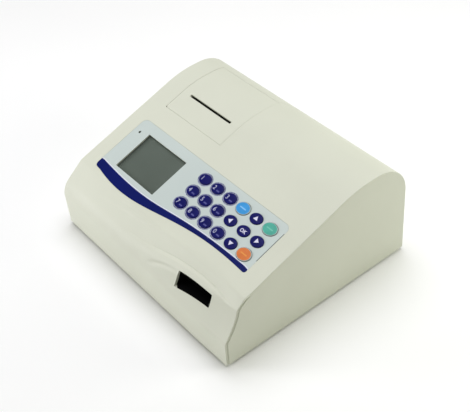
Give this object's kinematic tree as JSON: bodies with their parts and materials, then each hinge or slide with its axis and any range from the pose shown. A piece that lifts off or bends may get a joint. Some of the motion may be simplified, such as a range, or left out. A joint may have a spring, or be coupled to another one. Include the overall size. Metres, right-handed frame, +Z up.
{
  "type": "urine strip analyzer",
  "caption": "Desktop urine strip analyzer: wedge housing with slanted display and keypad panel, receipt printer under a hinged cover, motorised strip tray in the front.",
  "frame": {"origin": "on the table, under the middle of the housing's footprint", "axes": "+X to the user's right, +Y to the back, +Z up; the keypad and tray face -Y"},
  "size_m": [0.25, 0.212, 0.1095],
  "materials": {
    "housing": "fine moulded texture, satin",
    "feet": "matte",
    "steel": "satin",
    "overlay": "satin printed film",
    "window": "clear acrylic",
    "display": "grey-green display glass",
    "lamp": "tinted lens",
    "silicone": "matte",
    "board": "solder mask",
    "inner_plastic": "moulded",
    "paper": "paper",
    "card": "cardboard",
    "black_plastic": "moulded",
    "white_plastic": "moulded",
    "gear_plastic": "acetal",
    "frame_metal": "zinc plated",
    "platen_rubber": "ground rubber",
    "brass": "machined",
    "motor_case": "plated can",
    "connector_metal": "tinned shell",
    "navy_key": "satin",
    "blue_key": "satin",
    "green_key": "satin",
    "orange_key": "satin"
  },
  "bodies": {
    "housing": {"upper_case": "housing", "base_plate": "housing", "rubber_feet": "feet", "case_screws": "steel", "board_screws": "steel", "cover_hinge_pin": "steel", "panel_overlay": "overlay", "lcd_window": "window", "lcd_module": "display", "status_led": "lamp", "keypad_mat": "silicone", "keypad_board": "board", "main_board": "board", "paper_bay": "inner_plastic", "printer_frame": "frame_metal", "print_head": "frame_metal", "printer_motor": "motor_case", "tray_guide": "black_plastic", "stepper_motor": "motor_case", "head_bridge": "frame_metal", "optical_head": "black_plastic", "head_lens": "window", "position_sensor": "black_plastic", "power_inlet": "black_plastic", "serial_port": "connector_metal", "switch_body": "black_plastic"},
    "printer_cover": {"printer_cover": "housing"},
    "paper_roll": {"paper_roll": "paper", "roll_core": "card", "roll_spindle": "black_plastic"},
    "platen": {"platen_roller": "platen_rubber", "platen_shaft": "steel", "platen_gear": "gear_plastic"},
    "idler_gear": {"idler_gear": "gear_plastic"},
    "printer_pinion": {"printer_pinion": "brass"},
    "strip_tray": {"strip_tray": "black_plastic", "tray_rack": "gear_plastic", "strip_holder": "white_plastic", "white_reference": "white_plastic"},
    "drive_pinion": {"drive_pinion": "brass"},
    "power_rocker": {"power_rocker": "black_plastic"},
    "key_1": {"key_1": "navy_key"},
    "key_2": {"key_2": "navy_key"},
    "key_3": {"key_3": "navy_key"},
    "key_blue": {"key_blue": "blue_key"},
    "key_up": {"key_up": "navy_key"},
    "key_green": {"key_green": "green_key"},
    "key_4": {"key_4": "navy_key"},
    "key_5": {"key_5": "navy_key"},
    "key_6": {"key_6": "navy_key"},
    "key_left": {"key_left": "navy_key"},
    "key_ok": {"key_ok": "navy_key"},
    "key_right": {"key_right": "navy_key"},
    "key_7": {"key_7": "navy_key"},
    "key_8": {"key_8": "navy_key"},
    "key_9": {"key_9": "navy_key"},
    "key_0": {"key_0": "navy_key"},
    "key_down": {"key_down": "navy_key"},
    "key_orange": {"key_orange": "orange_key"}
  },
  "joints": [
    {"name": "cover_hinge", "type": "hinge", "parent": "housing", "child": "printer_cover", "pos_m": [-0.0585, 0.07711, 0.1047], "axis": [-1, 0, 0], "range_deg": [0, 66]},
    {"name": "roll_spin", "type": "hinge", "parent": "housing", "child": "paper_roll", "pos_m": [-0.0585, 0.062, 0.077], "axis": [1, 0, 0], "continuous": true},
    {"name": "platen_spin", "type": "hinge", "parent": "housing", "child": "platen", "pos_m": [-0.0585, 0.0374, 0.092], "axis": [1, 0, 0], "continuous": true},
    {"name": "idler_spin", "type": "hinge", "parent": "housing", "child": "idler_gear", "pos_m": [-0.018, 0.03064, 0.0775], "axis": [1, 0, 0], "continuous": true},
    {"name": "printer_pinion_spin", "type": "hinge", "parent": "housing", "child": "printer_pinion", "pos_m": [-0.018, 0.02514, 0.06572], "axis": [1, 0, 0], "continuous": true},
    {"name": "tray_slide", "type": "slide", "parent": "housing", "child": "strip_tray", "axis": [0, -1, 0], "range_m": [0, 0.07]},
    {"name": "drive_pinion_spin", "type": "hinge", "parent": "housing", "child": "drive_pinion", "pos_m": [0.0487, -0.026, 0.0477], "axis": [0, 0, -1], "range_deg": [0, 640]},
    {"name": "rocker_tip", "type": "hinge", "parent": "housing", "child": "power_rocker", "pos_m": [0.09, 0.0985, 0.027], "axis": [0, 0, 1], "range_deg": [0, 13]},
    {"name": "key_1_press", "type": "slide", "parent": "housing", "child": "key_1", "axis": [0, 0.3161, -0.9487], "range_m": [0, 0.001], "stiffness_N_per_m": 900},
    {"name": "key_2_press", "type": "slide", "parent": "housing", "child": "key_2", "axis": [0, 0.3161, -0.9487], "range_m": [0, 0.001], "stiffness_N_per_m": 900},
    {"name": "key_3_press", "type": "slide", "parent": "housing", "child": "key_3", "axis": [0, 0.3161, -0.9487], "range_m": [0, 0.001], "stiffness_N_per_m": 900},
    {"name": "key_blue_press", "type": "slide", "parent": "housing", "child": "key_blue", "axis": [0, 0.3161, -0.9487], "range_m": [0, 0.001], "stiffness_N_per_m": 900},
    {"name": "key_up_press", "type": "slide", "parent": "housing", "child": "key_up", "axis": [0, 0.3161, -0.9487], "range_m": [0, 0.001], "stiffness_N_per_m": 900},
    {"name": "key_green_press", "type": "slide", "parent": "housing", "child": "key_green", "axis": [0, 0.3161, -0.9487], "range_m": [0, 0.001], "stiffness_N_per_m": 900},
    {"name": "key_4_press", "type": "slide", "parent": "housing", "child": "key_4", "axis": [0, 0.3161, -0.9487], "range_m": [0, 0.001], "stiffness_N_per_m": 900},
    {"name": "key_5_press", "type": "slide", "parent": "housing", "child": "key_5", "axis": [0, 0.3161, -0.9487], "range_m": [0, 0.001], "stiffness_N_per_m": 900},
    {"name": "key_6_press", "type": "slide", "parent": "housing", "child": "key_6", "axis": [0, 0.3161, -0.9487], "range_m": [0, 0.001], "stiffness_N_per_m": 900},
    {"name": "key_left_press", "type": "slide", "parent": "housing", "child": "key_left", "axis": [0, 0.3161, -0.9487], "range_m": [0, 0.001], "stiffness_N_per_m": 900},
    {"name": "key_ok_press", "type": "slide", "parent": "housing", "child": "key_ok", "axis": [0, 0.3161, -0.9487], "range_m": [0, 0.001], "stiffness_N_per_m": 900},
    {"name": "key_right_press", "type": "slide", "parent": "housing", "child": "key_right", "axis": [0, 0.3161, -0.9487], "range_m": [0, 0.001], "stiffness_N_per_m": 900},
    {"name": "key_7_press", "type": "slide", "parent": "housing", "child": "key_7", "axis": [0, 0.3161, -0.9487], "range_m": [0, 0.001], "stiffness_N_per_m": 900},
    {"name": "key_8_press", "type": "slide", "parent": "housing", "child": "key_8", "axis": [0, 0.3161, -0.9487], "range_m": [0, 0.001], "stiffness_N_per_m": 900},
    {"name": "key_9_press", "type": "slide", "parent": "housing", "child": "key_9", "axis": [0, 0.3161, -0.9487], "range_m": [0, 0.001], "stiffness_N_per_m": 900},
    {"name": "key_0_press", "type": "slide", "parent": "housing", "child": "key_0", "axis": [0, 0.3161, -0.9487], "range_m": [0, 0.001], "stiffness_N_per_m": 900},
    {"name": "key_down_press", "type": "slide", "parent": "housing", "child": "key_down", "axis": [0, 0.3161, -0.9487], "range_m": [0, 0.001], "stiffness_N_per_m": 900},
    {"name": "key_orange_press", "type": "slide", "parent": "housing", "child": "key_orange", "axis": [0, 0.3161, -0.9487], "range_m": [0, 0.001], "stiffness_N_per_m": 900}
  ],
  "couplings": [
    {"joint": "platen_spin", "follows": "roll_spin", "ratio": 3.3333},
    {"joint": "idler_spin", "follows": "roll_spin", "ratio": -2},
    {"joint": "printer_pinion_spin", "follows": "roll_spin", "ratio": 6.6667},
    {"joint": "drive_pinion_spin", "follows": "tray_slide", "rad_per_m": 156.25}
  ]
}
